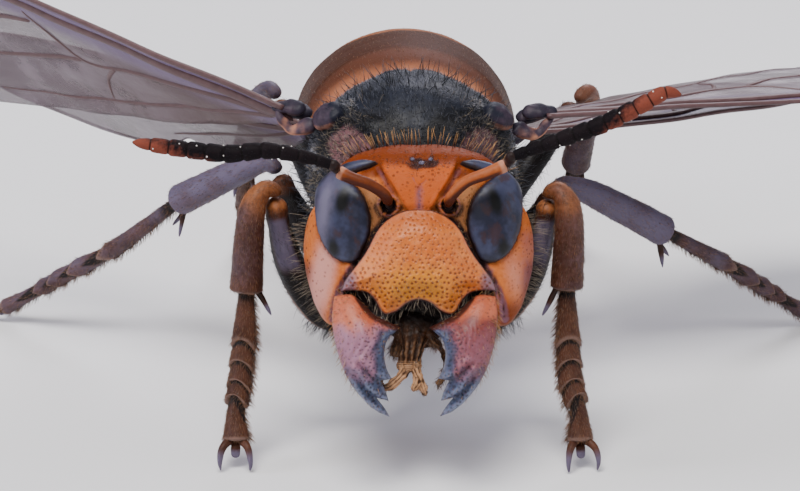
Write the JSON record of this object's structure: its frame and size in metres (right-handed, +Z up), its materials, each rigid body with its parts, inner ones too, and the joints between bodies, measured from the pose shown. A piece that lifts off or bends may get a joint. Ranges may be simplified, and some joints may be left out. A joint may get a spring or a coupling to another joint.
{
  "type": "asian giant hornet",
  "caption": "Life-size still model of an asian giant hornet standing on its six feet with its wings spread, its jaws open and its feelers raised.",
  "frame": {"origin": "centre of the bounding box at floor level, under the hornet's thorax", "axes": "+X to the hornet's left, +Y towards its tail, +Z up; the face looks along -Y"},
  "size_m": [0.0768, 0.0484, 0.023],
  "materials": {
    "orange_cuticle": "glossy orange cuticle",
    "yellow_orange_cuticle": "glossy pitted yellow-orange cuticle",
    "black_cuticle": "dark blue-grey cuticle under short pile",
    "brown_cuticle": "brown cuticle with fine golden hairs",
    "banded_cuticle": "satin brown and orange bands",
    "eye_surface": "polished blue-black compound eye",
    "mandible_cuticle": "glossy red-brown to slate blue",
    "wing_membrane": "smoky brown translucent membrane"
  },
  "bodies": {
    "root": {"head": "orange_cuticle", "clypeus": "yellow_orange_cuticle", "eye_left": "eye_surface", "eye_right": "eye_surface", "mandible_left": "mandible_cuticle", "mandible_right": "mandible_cuticle", "mouthparts": "brown_cuticle", "antenna_left_scape": "orange_cuticle", "antenna_right_scape": "orange_cuticle", "antenna_left_flagellum": "black_cuticle", "antenna_right_flagellum": "black_cuticle", "pronotum": "brown_cuticle", "mesothorax": "black_cuticle", "scutellum": "black_cuticle", "propodeum": "black_cuticle", "tegula_left": "brown_cuticle", "tegula_right": "brown_cuticle", "gaster_1": "orange_cuticle", "gaster_2": "banded_cuticle", "gaster_3": "banded_cuticle", "gaster_4": "banded_cuticle", "gaster_5": "banded_cuticle", "gaster_6": "orange_cuticle", "foreleg_left_coxa": "brown_cuticle", "foreleg_left_femur": "brown_cuticle", "foreleg_left_tibia": "brown_cuticle", "foreleg_left_tarsus": "brown_cuticle", "foreleg_right_coxa": "brown_cuticle", "foreleg_right_femur": "brown_cuticle", "foreleg_right_tibia": "brown_cuticle", "foreleg_right_tarsus": "brown_cuticle", "midleg_left_coxa": "brown_cuticle", "midleg_left_femur": "brown_cuticle", "midleg_left_tibia": "brown_cuticle", "midleg_left_tarsus": "brown_cuticle", "midleg_right_coxa": "brown_cuticle", "midleg_right_femur": "brown_cuticle", "midleg_right_tibia": "brown_cuticle", "midleg_right_tarsus": "brown_cuticle", "hindleg_left_coxa": "brown_cuticle", "hindleg_left_femur": "brown_cuticle", "hindleg_left_tibia": "brown_cuticle", "hindleg_left_tarsus": "brown_cuticle", "hindleg_right_coxa": "brown_cuticle", "hindleg_right_femur": "brown_cuticle", "hindleg_right_tibia": "brown_cuticle", "hindleg_right_tarsus": "brown_cuticle", "forewing_left": "wing_membrane", "forewing_right": "wing_membrane", "hindwing_left": "wing_membrane", "hindwing_right": "wing_membrane"}
  },
  "joints": []
}
